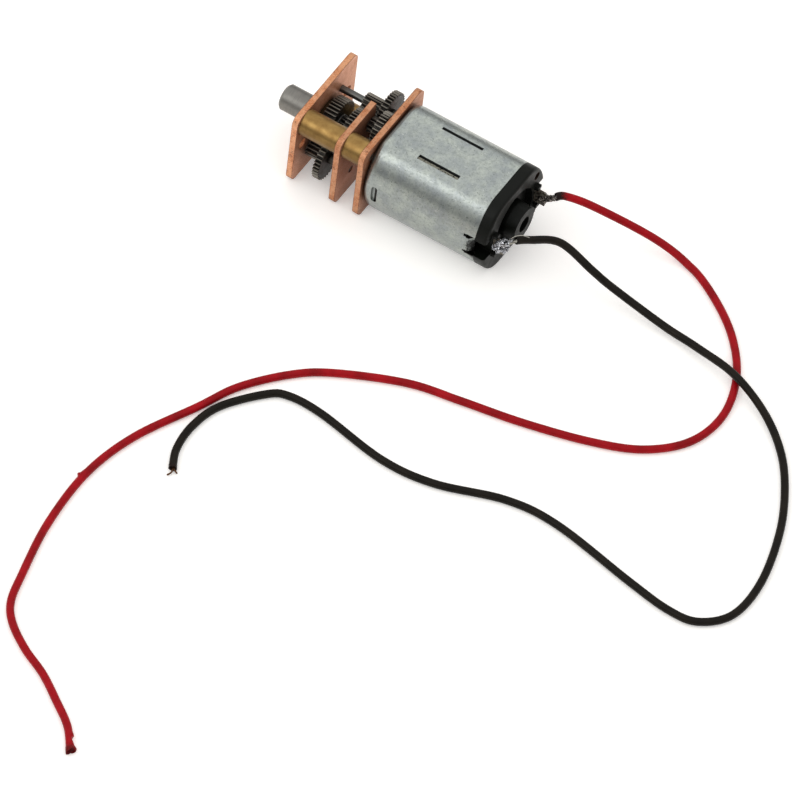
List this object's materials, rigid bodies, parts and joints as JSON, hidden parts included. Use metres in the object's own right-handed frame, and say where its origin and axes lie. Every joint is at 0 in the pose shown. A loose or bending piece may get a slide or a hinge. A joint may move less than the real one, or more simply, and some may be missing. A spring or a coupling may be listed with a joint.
{
  "type": "geared dc motor",
  "caption": "Miniature geared dc motor: a flat-sided can motor drives an open three-plate spur gearbox with a plain round output shaft; a red and a black lead are soldered to its tail.",
  "frame": {"origin": "Where the output shaft's axis crosses the front face of the front plate, midway between the two tapped mounting holes.", "axes": "+X out along the output shaft, +Z normal to the flat sides (the motor lies on its lower flat), +Y across the plates' long side."},
  "size_m": [0.0745, 0.0938, 0.01],
  "materials": {
    "plate_copper": "rolled copper-bronze sheet with sheared edges, satin",
    "brass": "turned, polished",
    "bearing_bronze": "sintered, matt",
    "gear_steel": "sintered dark steel, oiled",
    "pin_steel": "ground dark steel",
    "shaft_steel": "ground steel, satin",
    "screw_steel": "plated steel",
    "can_zinc": "zinc-plated drawn steel, matt spangle",
    "magnet": "sintered ferrite",
    "core_steel": "stacked laminations",
    "winding": "enamelled copper wire",
    "nylon_white": "moulded nylon",
    "nylon_black": "moulded nylon, slight sheen",
    "commutator_copper": "turned copper",
    "terminal_metal": "stamped and plated",
    "solder": "lumpy bright solder",
    "strand": "tinned copper strands",
    "lead_black": "soft PVC",
    "lead_red": "soft PVC"
  },
  "bodies": {
    "housing": {"front_plate": "plate_copper", "front_bushing": "brass", "middle_plate": "plate_copper", "rear_plate": "plate_copper", "near_front_post": "brass", "far_front_post": "brass", "near_rear_post": "brass", "far_rear_post": "brass", "post_screws": "screw_steel", "motor_screws": "screw_steel", "far_pin": "pin_steel", "near_pin": "pin_steel", "top_pin": "pin_steel", "motor_can": "can_zinc", "front_bearing": "bearing_bronze", "near_magnet": "magnet", "far_magnet": "magnet", "end_cap": "nylon_black", "rear_bearing": "bearing_bronze", "near_brush": "terminal_metal", "far_brush": "terminal_metal", "near_terminal": "terminal_metal", "far_terminal": "terminal_metal", "near_solder": "solder", "far_solder": "solder", "black_strands": "strand", "red_strands": "strand", "black_lead": "lead_black", "red_lead": "lead_red", "black_bare_end": "strand"},
    "output_drive": {"output_shaft": "shaft_steel", "output_gear": "gear_steel"},
    "stage_four": {"fourth_pinion": "gear_steel", "fourth_wheel": "gear_steel"},
    "stage_three": {"third_pinion": "gear_steel", "third_wheel": "gear_steel"},
    "stage_two": {"second_pinion": "gear_steel", "second_wheel": "gear_steel"},
    "stage_one": {"first_pinion": "gear_steel", "first_wheel": "gear_steel"},
    "rotor": {"motor_pinion": "brass", "motor_shaft": "shaft_steel", "rotor_core": "core_steel", "rotor_windings": "winding", "rotor_collars": "nylon_white", "commutator_body": "nylon_black", "commutator_segments": "commutator_copper", "front_washer": "nylon_white", "rear_washer": "nylon_white"}
  },
  "joints": [
    {"name": "output_spin", "type": "hinge", "parent": "housing", "child": "output_drive", "pos_m": [0, 0, 0], "axis": [1, 0, 0], "continuous": true},
    {"name": "stage_four_spin", "type": "hinge", "parent": "housing", "child": "stage_four", "pos_m": [-0.003, 0.00307, -0.00182], "axis": [1, 0, 0], "continuous": true},
    {"name": "stage_three_spin", "type": "hinge", "parent": "housing", "child": "stage_three", "pos_m": [-0.004, 0, 0], "axis": [1, 0, 0], "continuous": true},
    {"name": "stage_two_spin", "type": "hinge", "parent": "housing", "child": "stage_two", "pos_m": [-0.006, -0.00307, 0.00182], "axis": [1, 0, 0], "continuous": true},
    {"name": "stage_one_spin", "type": "hinge", "parent": "housing", "child": "stage_one", "pos_m": [-0.0075, 0, 0.0028], "axis": [1, 0, 0], "continuous": true},
    {"name": "rotor_spin", "type": "hinge", "parent": "housing", "child": "rotor", "pos_m": [-0.016, 0, 0], "axis": [1, 0, 0], "continuous": true}
  ],
  "couplings": [
    {"joint": "stage_four_spin", "follows": "output_spin", "ratio": -3.6364},
    {"joint": "stage_three_spin", "follows": "output_spin", "ratio": 7.9545},
    {"joint": "stage_two_spin", "follows": "output_spin", "ratio": -23.252},
    {"joint": "stage_one_spin", "follows": "output_spin", "ratio": 73.983},
    {"joint": "rotor_spin", "follows": "output_spin", "ratio": -172.63}
  ]
}
